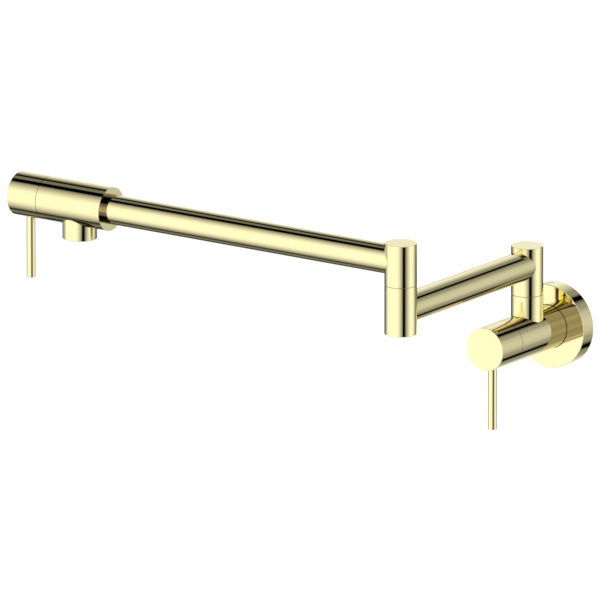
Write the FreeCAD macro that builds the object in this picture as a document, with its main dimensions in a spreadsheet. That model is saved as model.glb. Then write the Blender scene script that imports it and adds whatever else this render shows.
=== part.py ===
import FreeCAD, Part

import math
import os

import Sketcher

# Wall mounted pot filler: a tap on the wall, two arms on upright swivels, a second tap at the
# spout end. Millimetres, +Z up. The wall is the plane y = 0 and the tap stands out along -Y.
# The origin is on the inlet's axis in the wall plane.

# ---------------------------------------------------------------------------- driving sizes
SIZES = {
    # inlet and wall flange
    "inlet_thread_dia": 20.96,      # G 1/2, over the thread's crests
    "inlet_reach": 18.0,            # thread that goes into the wall
    "inlet_bore_dia": 12.0,
    "nut_flats": 27.0,              # hexagon behind the flange
    "nut_thick": 4.0,
    "nut_setback": 1.0,             # wall plane to the hexagon
    "inlet_washer_thick": 1.5,
    "inlet_washer_dia": 28.0,
    "flange_dia": 68.0,
    "flange_depth": 13.6,
    "flange_wall": 3.0,
    "flange_sleeve_wall": 4.1,      # collar that carries the flange's o-ring
    "flange_sleeve_length": 6.6,
    "flange_gap": 0.4,              # dark line between the flange and the valve body
    "flange_groove_depth": 1.7,
    # valve bodies, the same at the wall and at the spout
    "tap_dia": 35.4,
    "port_from_wall": 44.0,         # wall plane to the shoulder's axis
    "port_to_seam": 31.0,           # port axis to the seam behind the handle hub
    "spout_body_back": 31.0,        # nozzle axis to the ring face that the outer arm enters
    "socket_depth": 10.0,           # thread or tube let into the back of a valve body
    "water_bore_dia": 11.0,
    "chamber_dia": 25.0,
    "chamber_back": 14.0,           # port axis back to the chamber's floor
    "nut_seat_dia": 28.0,
    "nut_seat_depth": 13.0,
    "port_spigot_dia": 14.0,
    # ceramic cartridge
    "base_seal_thick": 2.0,
    "base_seal_bore_dia": 14.0,
    "disc_dia": 20.0,
    "disc_thick": 3.0,
    "disc_hole_inner": 4.5,         # radii of the sector openings
    "disc_hole_outer": 8.5,
    "disc_slot_width": 4.0,
    "disc_slot_length": 15.0,
    "disc_slot_depth": 1.5,
    "window_dia": 9.0,
    "spindle_flange_from_port": 6.0,
    "spindle_flange_thick": 3.0,
    "spindle_stem_dia": 8.0,
    "spindle_shaft_dia": 12.0,
    "spindle_square": 8.0,
    "spindle_clip_dia": 16.4,
    "cartridge_neck_dia": 18.0,
    "cartridge_neck_length": 9.0,
    "cartridge_nut_length": 10.0,
    "nut_slot_width": 4.0,
    "nut_slot_depth": 2.5,
    # handles
    "hub_length": 28.4,
    "hub_recess_dia": 26.0,
    "hub_recess_depth": 5.0,
    "hub_socket_depth": 10.0,
    "lever_dia": 7.1,
    "lever_stem_dia": 6.0,
    "lever_from_face": 11.1,        # lever axis back from the hub's front face
    "lever_tip_drop": 68.0,         # lever tip below the valve's axis
    "lever_seat_radius": 14.5,      # where the full rod starts, from the hub's axis
    "lever_stem_length": 5.0,
    "grub_dia": 5.0,
    "grub_length": 5.0,
    "grub_socket_flats": 2.5,
    "grub_socket_depth": 2.5,
    "grub_from_seam": 9.0,
    # swivel posts and arms
    "post_dia": 26.0,
    "arm_dia": 24.0,
    "arm_wall": 1.5,
    "inner_reach": 176.0,           # shoulder axis to elbow axis
    "outer_reach": 313.5,           # elbow axis to nozzle axis
    "inner_arm_height": 57.9,       # over the inlet's axis
    "arm_rise": 40.3,               # outer arm over the inner arm
    "shoulder_seam_drop": 24.3,     # seam below the inner arm's axis
    "shoulder_top_rise": 15.7,      # post top above the inner arm's axis
    "elbow_bottom_drop": 19.1,      # post bottom below the inner arm's axis
    "elbow_seam_rise": 21.0,        # seam above the inner arm's axis
    "elbow_top_rise": 15.0,         # post top above the outer arm's axis
    "swivel_dia": 18.0,
    "swivel_bore_dia": 9.0,
    "swivel_hole_dia": 7.0,         # cross holes that let the water out at the arm
    "swivel_channel_dia": 13.0,
    "swivel_channel_width": 10.0,
    "swivel_thread_dia": 21.0,      # elbow spindle's foot
    "swivel_thread_length": 12.5,
    "lower_bore_dia": 19.0,
    "arm_port_dia": 12.0,
    "cap_dia": 22.0,
    "cap_thick": 3.0,
    "clip_room_dia": 21.2,
    "clip_room_depth": 3.0,         # from the cap's underside to the glide washer's seat
    "clip_dia": 20.4,
    "clip_thick": 1.0,
    "clip_groove_depth": 1.2,
    "clip_gap_width": 4.0,
    "glide_washer_thick": 0.7,
    "thrust_washer_thick": 1.4,
    "thrust_washer_width": 2.4,
    # o-rings
    "groove_width": 2.2,
    "swivel_groove_depth": 1.7,
    "swivel_groove_offset": 7.1,    # groove centres above and below the arm's axis
    "spindle_groove_depth": 1.3,
    "cartridge_groove_depth": 1.5,
    # nozzle and aerator
    "nozzle_dia": 28.0,
    "nozzle_drop": 28.3,            # nozzle's end below the valve's axis
    "nozzle_bore_dia": 9.0,
    "nozzle_mouth_dia": 23.0,
    "nozzle_mouth_depth": 9.0,
    "aerator_inset": 0.5,
    "aerator_wall": 2.0,
    "aerator_grid_thick": 2.0,
    "aerator_hole_dia": 2.2,
    "aerator_hole_pitch": 3.2,
    "aerator_seal_thick": 1.0,
    "screen_thick": 1.2,
    "screen_hole_dia": 1.6,
    "screen_hole_circle": 12.0,
    # clearances
    "seam": 0.4,                    # hairline between pieces that turn on each other
    "running_gap": 0.05,            # shaft in its hole
    "slide_gap": 0.1,               # washer or clip to what turns beside it
    "seat_gap": 0.05,               # piece seated in another
    "squeeze_gap": 0.02,            # o-ring to the walls that it seals
    "end_gap": 0.5,                 # end of a thread or tube to the floor of its socket
    "spigot_inset": 0.3,            # spigot's end short of the chamber's wall
    "edge_round": 0.4,
}

doc = FreeCAD.newDocument("pot_filler")
sheet = doc.addObject("Spreadsheet::Sheet", "Sizes")
for row, (alias, number) in enumerate(SIZES.items(), start=1):
    sheet.set(f"A{row}", alias)
    sheet.set(f"B{row}", str(number))
    sheet.setAlias(f"B{row}", alias)
doc.recompute()


class Size:
    """A length: its number now, and the sheet expression that keeps a feature tied to it."""

    def __init__(self, number, text):
        self.number = number
        self.text = text

    def __add__(self, other):
        other = as_size(other)
        return Size(self.number + other.number, f"({self.text} + {other.text})")

    def __sub__(self, other):
        other = as_size(other)
        return Size(self.number - other.number, f"({self.text} - {other.text})")

    def __mul__(self, factor):
        return Size(self.number * factor, f"({self.text} * {factor!r})")

    def __truediv__(self, divisor):
        return Size(self.number / divisor, f"({self.text} / {divisor!r})")

    def __neg__(self):
        return Size(-self.number, f"(0 - {self.text})")

    __radd__ = __add__
    __rmul__ = __mul__

    def __rsub__(self, other):
        return as_size(other) - self


def as_size(value):
    return value if isinstance(value, Size) else Size(float(value), repr(float(value)))


class Sheet:
    """Every size of the sheet as an attribute, such as size.tap_dia."""

    def __getattr__(self, alias):
        return Size(SIZES[alias], f"Sizes.{alias}")


size = Sheet()
ZERO = as_size(0)


# ------------------------------------------------------------------------- frames of pieces
class Frame:
    """Where a piece's own axes lie in the object: an origin of three sizes and a rotation."""

    def __init__(self, x, y, z, rotation=FreeCAD.Rotation()):
        self.origin = [as_size(x), as_size(y), as_size(z)]
        self.rotation = rotation

    def along(self, distance):
        """The same frame moved along its own Z."""
        way = self.rotation.multVec(FreeCAD.Vector(0, 0, 1))
        moved = [part + distance * float(round(step)) for part, step in zip(self.origin, way)]
        return Frame(*moved, self.rotation)

    def facing(self, rotation):
        return Frame(*self.origin, rotation)


def axes(x, y, z):
    """The rotation that takes the X, Y and Z axes to three given directions."""
    return FreeCAD.Rotation(FreeCAD.Vector(*x), FreeCAD.Vector(*y), FreeCAD.Vector(*z), "XYZ")


OUT_OF_WALL = axes((1, 0, 0), (0, 0, 1), (0, -1, 0))
ALONG_OUTER_ARM = axes((0, -1, 0), (0, 0, 1), (-1, 0, 0))
DOWN_AT_WALL = axes((-1, 0, 0), (0, 1, 0), (0, 0, -1))
DOWN_AT_SPOUT = axes((0, 1, 0), (1, 0, 0), (0, 0, -1))

elbow_y = -(size.port_from_wall + size.inner_reach)
outer_arm_height = size.inner_arm_height + size.arm_rise

WALL = Frame(0, 0, 0, OUT_OF_WALL)
WALL_VALVE = Frame(0, -size.port_from_wall, 0, OUT_OF_WALL)
SHOULDER = Frame(0, -size.port_from_wall, 0)
ELBOW = Frame(0, elbow_y, 0)
INNER_ARM = Frame(0, -size.port_from_wall, size.inner_arm_height, OUT_OF_WALL)
OUTER_ARM = Frame(0, elbow_y, outer_arm_height, ALONG_OUTER_ARM)
SPOUT_VALVE = Frame(-size.outer_reach, elbow_y, outer_arm_height, ALONG_OUTER_ARM)
NOZZLE = SPOUT_VALVE.facing(DOWN_AT_SPOUT)

# ------------------------------------------------------------------------- modelling helpers
pieces = []


def new_body(label, frame):
    body = doc.addObject("PartDesign::Body", label)
    body.Label = label
    numbers = [part.number for part in frame.origin]
    body.Placement = FreeCAD.Placement(FreeCAD.Vector(*numbers), frame.rotation)
    for axis, part in zip("xyz", frame.origin):
        body.setExpression(f"Placement.Base.{axis}", part.text)
    pieces.append(body)
    return body


def new_sketch(body, name, plane, offset=ZERO):
    """A sketch on one of the body's own origin planes, moved along the plane's normal."""
    sketch = body.newObject("Sketcher::SketchObject", f"{body.Name}_{name}")
    planes = {item.Role: item for item in body.Origin.OriginFeatures}
    sketch.AttachmentSupport = [(planes[f"{plane}_Plane"], "")]
    sketch.MapMode = "FlatFace"
    sketch.AttachmentOffset = FreeCAD.Placement(
        FreeCAD.Vector(0, 0, offset.number), FreeCAD.Rotation()
    )
    sketch.setExpression("AttachmentOffset.Base.z", offset.text)
    return sketch


def pin_point(sketch, geometry, end, x, y):
    """Holds one point of the sketch at x, y, each a size or 0 for a point on the axis."""
    for kind, value, axis in (("DistanceX", x, -2), ("DistanceY", y, -1)):
        value = as_size(value)
        if value.text == ZERO.text:
            sketch.addConstraint(Sketcher.Constraint("PointOnObject", geometry, end, axis))
        else:
            index = sketch.addConstraint(
                Sketcher.Constraint(kind, -1, 1, geometry, end, value.number)
            )
            sketch.setExpression(f"Constraints[{index}]", value.text)


def draw_polygon(sketch, corners):
    corners = [(as_size(x), as_size(y)) for x, y in corners]
    first = sketch.GeometryCount
    count = len(corners)
    for index, (x, y) in enumerate(corners):
        next_x, next_y = corners[(index + 1) % count]
        start = FreeCAD.Vector(x.number, y.number, 0)
        end = FreeCAD.Vector(next_x.number, next_y.number, 0)
        sketch.addGeometry(Part.LineSegment(start, end), False)
    for index in range(count):
        after = first + (index + 1) % count
        sketch.addConstraint(Sketcher.Constraint("Coincident", first + index, 2, after, 1))
        pin_point(sketch, first + index, 1, *corners[index])


def draw_circle(sketch, x, y, diameter):
    x, y, diameter = as_size(x), as_size(y), as_size(diameter)
    circle = Part.Circle(
        FreeCAD.Vector(x.number, y.number, 0), FreeCAD.Vector(0, 0, 1), diameter.number / 2
    )
    index = sketch.addGeometry(circle, False)
    pin_point(sketch, index, 3, x, y)
    constraint = sketch.addConstraint(Sketcher.Constraint("Diameter", index, diameter.number))
    sketch.setExpression(f"Constraints[{constraint}]", diameter.text)


def draw_rectangle(sketch, width, height):
    across, up = width / 2, height / 2
    draw_polygon(sketch, [(-across, -up), (across, -up), (across, up), (-across, up)])


def draw_hexagon(sketch, flats):
    """A regular hexagon with two corners on the vertical axis."""
    corner = 1 / math.sqrt(3)
    side = flats / 2
    draw_polygon(
        sketch,
        [
            (0, flats * corner),
            (-side, flats * (corner / 2)),
            (-side, -flats * (corner / 2)),
            (0, -flats * corner),
            (side, -flats * (corner / 2)),
            (side, flats * (corner / 2)),
        ],
    )


def add_feature(body, kind, name, sketch):
    feature = body.newObject(f"PartDesign::{kind}", f"{body.Name}_{name}")
    feature.Profile = sketch
    sketch.Visibility = False
    return feature


def turned(label, frame, outline):
    """A lathe part: the outline of radii and heights, swept once round the frame's Z axis."""
    body = new_body(label, frame)
    sketch = new_sketch(body, "outline", "XZ")
    draw_polygon(sketch, outline)
    turn = add_feature(body, "Revolution", "turn", sketch)
    turn.ReferenceAxis = (sketch, ["V_Axis"])
    turn.Angle = 360
    doc.recompute()
    return body


def ring(label, frame, inner_dia, outer_dia, low, high):
    inner, outer = inner_dia / 2, outer_dia / 2
    return turned(label, frame, [(inner, low), (outer, low), (outer, high), (inner, high)])


def o_ring(label, frame, inner_radius, outer_radius, height):
    """A round-section ring that just clears the floor of its groove and the wall it seals."""
    body = new_body(label, frame)
    sketch = new_sketch(body, "section", "XZ")
    inner = inner_radius + size.squeeze_gap
    outer = outer_radius - size.squeeze_gap
    draw_circle(sketch, (inner + outer) / 2, height, outer - inner)
    turn = add_feature(body, "Revolution", "turn", sketch)
    turn.ReferenceAxis = (sketch, ["V_Axis"])
    turn.Angle = 360
    doc.recompute()
    return body


def extrude(body, kind, name, plane, draw, start, length, reverse=False, both=False):
    """Pads or cuts what draw(sketch) draws, from start along the plane's normal."""
    before = body.Shape.Volume
    sketch = new_sketch(body, name, plane, start)
    draw(sketch)
    feature = add_feature(body, kind, f"{name}_{kind.lower()}", sketch)
    feature.Length = as_size(length).number
    feature.setExpression("Length", as_size(length).text)
    feature.Reversed = reverse
    if both:
        feature.SideType = "Symmetric"
    doc.recompute()
    grew = body.Shape.Volume - before
    if (kind == "Pad") != (grew > 0) or abs(grew) < 1e-6:
        raise ValueError(f"{body.Label}: {name} changed the volume by {grew}")
    return feature


def pad(body, name, plane, draw, start, length):
    return extrude(body, "Pad", name, plane, draw, start, length)


def cut_through(body, name, plane, draw, length):
    """Cuts both ways from the plane, over the whole length."""
    return extrude(body, "Pocket", name, plane, draw, ZERO, length, both=True)


def cut_side(body, name, side, draw, start, length):
    """Cuts along one of the body's axes, such as "+Y", from a distance out from its origin."""
    plane, normal = {"X": ("YZ", 1), "Y": ("XZ", -1), "Z": ("XY", 1)}[side[1]]
    way = 1 if side[0] == "+" else -1
    offset = start * float(way * normal)
    along_normal = way == normal
    return extrude(body, "Pocket", name, plane, draw, offset, length, reverse=along_normal)


def round_edges(body, radius, rims):
    """Rounds the circular edges that lie at the given radii and heights."""
    base = body.Tip
    wanted = [(as_size(rim).number, as_size(height).number) for rim, height in rims]
    names = []
    for index, edge in enumerate(base.Shape.Edges, start=1):
        if not isinstance(edge.Curve, Part.Circle):
            continue
        found = (edge.Curve.Radius, edge.Curve.Center.z)
        if any(math.dist(found, rim) < 1e-4 for rim in wanted):
            names.append(f"Edge{index}")
    if len(names) < len(wanted):
        raise ValueError(f"{body.Label}: found {len(names)} of {len(wanted)} rims")
    fillet = body.newObject("PartDesign::Fillet", f"{body.Name}_rims")
    fillet.Base = (base, names)
    fillet.Radius = radius.number
    fillet.setExpression("Radius", radius.text)
    doc.recompute()


# ------------------------------------------------------------------------------ inlet, flange
tap_radius = size.tap_dia / 2
nut_front = size.nut_setback + size.nut_thick
wall_body_back = nut_front + size.inlet_washer_thick
inlet_end = wall_body_back + size.socket_depth - size.end_gap


def build_inlet():
    """Threaded nipple with a hexagon, and the washer that seals it to the valve body."""
    inside_the_wall = (size.inlet_bore_dia + size.inlet_thread_dia) / 2
    nipple = ring(
        "inlet_nipple", WALL, size.inlet_bore_dia, size.inlet_thread_dia,
        -size.inlet_reach, inlet_end,
    )

    def hexagon_round_the_bore(sketch):
        draw_hexagon(sketch, size.nut_flats)
        draw_circle(sketch, 0, 0, inside_the_wall)

    pad(nipple, "hexagon", "XY", hexagon_round_the_bore, size.nut_setback, size.nut_thick)
    ring(
        "inlet_washer", WALL, size.inlet_thread_dia + 2 * size.seat_gap, size.inlet_washer_dia,
        nut_front, wall_body_back,
    )


def build_flange():
    """Turned cup that hides the nut, with a sleeve whose o-ring grips the valve body."""
    outer = size.flange_dia / 2
    cavity = outer - size.flange_wall
    bore = tap_radius + size.flange_gap
    sleeve = bore + size.flange_sleeve_wall
    plate_back = size.flange_depth - size.flange_wall
    sleeve_back = plate_back - size.flange_sleeve_length
    groove = bore + size.flange_groove_depth
    groove_centre = (sleeve_back + size.flange_depth) / 2
    groove_low = groove_centre - size.groove_width / 2
    groove_high = groove_centre + size.groove_width / 2
    flange = turned("wall_flange", WALL, [
        (cavity, 0), (outer, 0), (outer, size.flange_depth), (bore, size.flange_depth),
        (bore, groove_high), (groove, groove_high), (groove, groove_low), (bore, groove_low),
        (bore, sleeve_back), (sleeve, sleeve_back), (sleeve, plate_back), (cavity, plate_back),
    ])
    round_edges(flange, size.edge_round, [(outer, size.flange_depth)])
    o_ring("flange_o_ring", WALL, tap_radius, groove, groove_centre)


# ------------------------------------------------------------------------------ valve bodies
chamber_radius = size.chamber_dia / 2
seat_front = size.port_to_seam - size.nut_seat_depth


def build_valve_body(label, frame, back, socket_radius, port_side):
    """Round body with a chamber for the cartridge, a socket behind and a port at the side."""
    socket_floor = size.socket_depth - back
    water = size.water_bore_dia / 2
    nut_seat = size.nut_seat_dia / 2
    body = turned(label, frame, [
        (water, socket_floor), (socket_radius, socket_floor), (socket_radius, -back),
        (tap_radius, -back), (tap_radius, size.port_to_seam), (nut_seat, size.port_to_seam),
        (nut_seat, seat_front), (chamber_radius, seat_front),
        (chamber_radius, -size.chamber_back), (water, -size.chamber_back),
    ])
    port_dia = size.port_spigot_dia + 2 * size.seat_gap
    cut_side(body, "port", port_side, lambda sketch: draw_circle(sketch, 0, 0, port_dia),
             ZERO, size.tap_dia)
    return body


# --------------------------------------------------------------------------------- cartridge
seal_front = size.base_seal_thick - size.chamber_back
discs_meet = seal_front + size.disc_thick
discs_front = discs_meet + size.disc_thick
flange_low = size.spindle_flange_from_port
flange_high = flange_low + size.spindle_flange_thick
shaft_radius = size.spindle_shaft_dia / 2
neck_front = seat_front + size.cartridge_neck_length
hub_floor = size.port_to_seam + size.hub_recess_depth
hub_front = size.port_to_seam + size.hub_length
# degrees: half of a disc opening, and the middles of the two openings in each disc
SECTOR_HALF = 35
ACROSS = (0, 180)
UPRIGHT = (90, 270)


def draw_sector(sketch, inner, outer, middle, half_angle):
    """A piece of a ring between two radii, closed by two lines that point at the centre."""
    centre = FreeCAD.Vector(0, 0, 0)
    normal = FreeCAD.Vector(0, 0, 1)
    low, high = math.radians(middle - half_angle), math.radians(middle + half_angle)
    arcs = []
    for radius in (inner, outer):
        circle = Part.Circle(centre, normal, radius.number)
        arc = sketch.addGeometry(Part.ArcOfCircle(circle, low, high), False)
        sketch.addConstraint(Sketcher.Constraint("Coincident", arc, 3, -1, 1))
        index = sketch.addConstraint(Sketcher.Constraint("Radius", arc, radius.number))
        sketch.setExpression(f"Constraints[{index}]", radius.text)
        arcs.append(arc)
    for end, angle in ((1, low), (2, high)):
        way = FreeCAD.Vector(math.cos(angle), math.sin(angle), 0)
        line = Part.LineSegment(way * inner.number, way * outer.number)
        side = sketch.addGeometry(line, False)
        sketch.addConstraint(Sketcher.Constraint("Coincident", side, 1, arcs[0], end))
        sketch.addConstraint(Sketcher.Constraint("Coincident", side, 2, arcs[1], end))
        sketch.addConstraint(Sketcher.Constraint("PointOnObject", -1, 1, side))
        sketch.addConstraint(Sketcher.Constraint("Angle", side, angle))


def build_disc(label, frame, low, middles):
    """Ceramic disc with a sector opening about each of the given angles."""
    high = low + size.disc_thick
    radius = size.disc_dia / 2
    disc = turned(label, frame, [(0, low), (radius, low), (radius, high), (0, high)])

    def openings(sketch):
        for middle in middles:
            draw_sector(sketch, size.disc_hole_inner, size.disc_hole_outer, middle, SECTOR_HALF)

    cut_side(disc, "openings", "+Z", openings, low, size.disc_thick)
    return disc


def build_cartridge(prefix, frame):
    """What stays still in the chamber: seal, shell, fixed disc and the nut that holds them."""
    bore = size.disc_dia / 2 + size.running_gap
    bore_end = flange_high + size.running_gap
    outer = chamber_radius - size.seat_gap
    neck = size.cartridge_neck_dia / 2
    bearing = shaft_radius + size.running_gap
    groove = outer - size.cartridge_groove_depth
    groove_at = (flange_high + seat_front) / 2
    groove_low = groove_at - size.groove_width / 2
    groove_high = groove_at + size.groove_width / 2
    ring(f"{prefix}_base_seal", frame, size.base_seal_bore_dia, 2 * outer,
         -size.chamber_back, seal_front)
    shell = turned(f"{prefix}_cartridge_body", frame, [
        (bore, seal_front), (outer, seal_front), (outer, groove_low), (groove, groove_low),
        (groove, groove_high), (outer, groove_high), (outer, seat_front), (neck, seat_front),
        (neck, neck_front), (bearing, neck_front), (bearing, bore_end), (bore, bore_end),
    ])
    cut_through(shell, "windows", "XZ",
                lambda sketch: draw_circle(sketch, 0, 0, size.window_dia), size.tap_dia)
    o_ring(f"{prefix}_cartridge_o_ring", frame, groove, chamber_radius, groove_at)
    build_disc(f"{prefix}_fixed_disc", frame, seal_front, ACROSS)

    nut_front = seat_front + size.cartridge_nut_length
    nut_outer = size.nut_seat_dia - 2 * size.seat_gap
    nut = ring(f"{prefix}_cartridge_nut", frame, 2 * (neck + size.seat_gap), nut_outer,
               seat_front, nut_front)
    cut_side(nut, "key_slot", "-Z",
             lambda sketch: draw_rectangle(sketch, size.nut_slot_width, nut_outer),
             -nut_front, size.nut_slot_depth)


def build_spindle(prefix, frame):
    """What turns in the cartridge: the moving disc and the spindle that the hub drives."""
    moving = build_disc(f"{prefix}_moving_disc", frame, discs_meet, UPRIGHT)
    cut_side(moving, "key_slot", "-Z",
             lambda sketch: draw_rectangle(sketch, size.disc_slot_length, size.disc_slot_width),
             -discs_front, size.disc_slot_depth)

    stem = size.spindle_stem_dia / 2
    flange = size.disc_dia / 2
    groove = shaft_radius - size.spindle_groove_depth
    groove_at = (flange_high + neck_front) / 2
    groove_low = groove_at - size.groove_width / 2
    groove_high = groove_at + size.groove_width / 2
    clip_low = neck_front + size.slide_gap
    clip_high = clip_low + size.clip_thick
    clip_floor = shaft_radius - size.clip_groove_depth
    shaft_end = size.port_to_seam
    spindle = turned(f"{prefix}_spindle", frame, [
        (0, discs_front), (stem, discs_front), (stem, flange_low), (flange, flange_low),
        (flange, flange_high), (shaft_radius, flange_high), (shaft_radius, groove_low),
        (groove, groove_low), (groove, groove_high), (shaft_radius, groove_high),
        (shaft_radius, clip_low - size.running_gap), (clip_floor, clip_low - size.running_gap),
        (clip_floor, clip_high + size.running_gap), (shaft_radius, clip_high + size.running_gap),
        (shaft_radius, shaft_end), (0, shaft_end),
    ])
    key_low = discs_front - size.disc_slot_depth + size.seat_gap
    pad(spindle, "key", "XY",
        lambda sketch: draw_rectangle(sketch, size.disc_slot_length - 2 * size.seat_gap,
                                      size.disc_slot_width - 2 * size.seat_gap),
        key_low, 2 * size.disc_slot_depth)
    square_end = hub_floor + size.hub_socket_depth - size.end_gap
    pad(spindle, "square", "XY",
        lambda sketch: draw_rectangle(sketch, size.spindle_square, size.spindle_square),
        shaft_end, square_end - shaft_end)
    bearing = shaft_radius + size.running_gap
    o_ring(f"{prefix}_spindle_o_ring", frame, groove, bearing, groove_at)
    build_clip(f"{prefix}_spindle_clip", frame, clip_floor, size.spindle_clip_dia / 2, clip_low)


def build_clip(label, frame, groove_radius, outer, low):
    """Open spring ring in a groove; the gap faces its frame's +X."""
    inner = groove_radius + size.seat_gap
    clip = ring(label, frame, 2 * inner, 2 * outer, low, low + size.clip_thick)
    half_gap = size.clip_gap_width / 2

    def gap(sketch):
        draw_polygon(sketch, [(0, -half_gap), (outer, -half_gap), (outer, half_gap),
                              (0, half_gap)])

    cut_side(clip, "gap", "+Z", gap, low, size.clip_thick)


# ----------------------------------------------------------------------------------- handles
def build_handle(prefix, frame, down):
    """Round hub on the spindle's square, its pin lever, and the grub screw that holds it."""
    back = size.port_to_seam + size.seam
    recess = size.hub_recess_dia / 2
    hub = turned(f"{prefix}_handle_hub", frame, [
        (0, hub_floor), (recess, hub_floor), (recess, back), (tap_radius, back),
        (tap_radius, hub_front), (0, hub_front),
    ])
    socket = size.spindle_square + 2 * size.seat_gap
    cut_side(hub, "socket", "+Z", lambda sketch: draw_rectangle(sketch, socket, socket),
             hub_floor, size.hub_socket_depth)

    lever_at = hub_front - size.lever_from_face
    stem_top = size.lever_seat_radius - size.lever_stem_length
    stem_hole = size.lever_stem_dia + 2 * size.seat_gap
    rod_hole = size.lever_dia + 2 * size.seat_gap
    cut_side(hub, "lever_thread", "-Y",
             lambda sketch: draw_circle(sketch, 0, lever_at, stem_hole),
             stem_top - size.seat_gap, tap_radius)
    cut_side(hub, "lever_seat", "-Y",
             lambda sketch: draw_circle(sketch, 0, lever_at, rod_hole),
             size.lever_seat_radius, tap_radius)

    grub_at = size.port_to_seam + size.grub_from_seam
    grub_hole = size.grub_dia + 2 * size.seat_gap
    cut_side(hub, "grub_hole", "-Y",
             lambda sketch: draw_circle(sketch, 0, grub_at, grub_hole),
             ZERO, size.tap_dia)
    round_edges(hub, size.edge_round, [(tap_radius, hub_front)])

    stem, rod = size.lever_stem_dia / 2, size.lever_dia / 2
    lever = turned(f"{prefix}_lever", frame.along(lever_at).facing(down), [
        (0, stem_top), (stem, stem_top), (stem, size.lever_seat_radius),
        (rod, size.lever_seat_radius), (rod, size.lever_tip_drop), (0, size.lever_tip_drop),
    ])
    round_edges(lever, size.edge_round, [(rod, size.lever_tip_drop)])

    grub_tip = size.spindle_square / 2 + size.seat_gap
    grub_end = grub_tip + size.grub_length
    grub = size.grub_dia / 2
    screw = turned(f"{prefix}_grub_screw", frame.along(grub_at).facing(down), [
        (0, grub_tip), (grub, grub_tip), (grub, grub_end), (0, grub_end),
    ])
    cut_side(screw, "key", "-Z", lambda sketch: draw_hexagon(sketch, size.grub_socket_flats),
             -grub_end, size.grub_socket_depth)


# ----------------------------------------------------------------------------- swivel joints
post_radius = size.post_dia / 2
swivel_radius = size.swivel_dia / 2
swivel_bore = swivel_radius + size.running_gap
washer_inner = swivel_radius + size.slide_gap
cap_radius = size.cap_dia / 2
clip_room = size.clip_room_dia / 2


def clip_seat(top):
    """Height of the step inside a housing that the glide washer lies on."""
    return top - size.cap_thick - size.clip_room_depth


def clip_low_in(top):
    return clip_seat(top) + size.glide_washer_thick + size.running_gap


def swivel_outline(seam, arm, top):
    """The spindle above the seam: two o-ring grooves, a water channel and a clip groove."""
    groove = swivel_radius - size.swivel_groove_depth
    half_groove = size.groove_width / 2
    channel = size.swivel_channel_dia / 2
    half_channel = size.swivel_channel_width / 2
    clip_floor = swivel_radius - size.clip_groove_depth
    clip_low = clip_low_in(top) - size.running_gap
    clip_high = clip_low_in(top) + size.clip_thick + size.running_gap
    end = top - size.cap_thick - size.end_gap
    outline = [(swivel_radius, seam)]
    for middle, half, floor in (
        (arm - size.swivel_groove_offset, half_groove, groove),
        (arm, half_channel, channel),
        (arm + size.swivel_groove_offset, half_groove, groove),
    ):
        low, high = middle - half, middle + half
        outline += [(swivel_radius, low), (floor, low), (floor, high), (swivel_radius, high)]
    outline += [
        (swivel_radius, clip_low), (clip_floor, clip_low), (clip_floor, clip_high),
        (swivel_radius, clip_high), (swivel_radius, end), (0, end),
    ]
    return outline


def bore_for_water(spindle, low, arm):
    """A blind bore up the spindle, and cross holes that lead into the channel round it."""
    high = arm + size.swivel_hole_dia / 2
    cut_side(spindle, "bore", "+Z",
             lambda sketch: draw_circle(sketch, 0, 0, size.swivel_bore_dia), low, high - low)
    for plane in ("XZ", "YZ"):
        cut_through(spindle, f"cross_hole_{plane.lower()}", plane,
                    lambda sketch: draw_circle(sketch, 0, arm, size.swivel_hole_dia),
                    size.post_dia)


def build_swivel(prefix, frame, seam, arm, top, port_side, housing_label):
    """What surrounds a spindle: o-rings, washers, clip, the turning housing and its cap."""
    groove = swivel_radius - size.swivel_groove_depth
    for place, height in (
        ("lower", arm - size.swivel_groove_offset),
        ("upper", arm + size.swivel_groove_offset),
    ):
        o_ring(f"{prefix}_{place}_o_ring", frame, groove, swivel_bore, height)

    washer_outer = washer_inner + size.thrust_washer_width
    washer_top = seam + size.thrust_washer_thick
    ring(f"{prefix}_thrust_washer", frame, 2 * washer_inner, 2 * washer_outer, seam, washer_top)
    step = clip_seat(top)
    ring(f"{prefix}_glide_washer", frame, 2 * washer_inner, 2 * (clip_room - size.seat_gap),
         step, step + size.glide_washer_thick)
    build_clip(f"{prefix}_clip", frame, swivel_radius - size.clip_groove_depth,
               size.clip_dia / 2, clip_low_in(top))

    washer_seat = washer_outer + size.seat_gap
    low = seam + size.seam
    cap_low = top - size.cap_thick
    housing = turned(housing_label, frame, [
        (swivel_bore, washer_top), (washer_seat, washer_top), (washer_seat, low),
        (post_radius, low), (post_radius, top), (cap_radius, top), (cap_radius, cap_low),
        (clip_room, cap_low), (clip_room, step), (swivel_bore, step),
    ])
    cut_side(housing, "port", port_side,
             lambda sketch: draw_circle(sketch, 0, arm, size.arm_port_dia),
             ZERO, size.post_dia)
    round_edges(housing, size.edge_round, [(post_radius, top)])
    build_cap(f"{prefix}_top_cap", frame, cap_low)


def build_cap(label, frame, low):
    """Disc brazed flush into the end of a post."""
    high = low + size.cap_thick
    turned(label, frame, [(0, low), (cap_radius, low), (cap_radius, high), (0, high)])


def fit_to_valve(body, spigot_top):
    """Cuts the saddle that sits on a valve body, and adds the spigot that enters its port."""
    cut_through(body, "saddle", "XZ", lambda sketch: draw_circle(sketch, 0, 0, size.tap_dia),
                2 * size.tap_dia)
    spigot_low = chamber_radius + size.spigot_inset
    pad(body, "spigot", "XY", lambda sketch: draw_circle(sketch, 0, 0, size.port_spigot_dia),
        spigot_low, spigot_top - spigot_low)
    return spigot_low


shoulder_seam = size.inner_arm_height - size.shoulder_seam_drop
shoulder_top = size.inner_arm_height + size.shoulder_top_rise
elbow_bottom = size.inner_arm_height - size.elbow_bottom_drop
elbow_seam = size.inner_arm_height + size.elbow_seam_rise
elbow_top = outer_arm_height + size.elbow_top_rise


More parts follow.
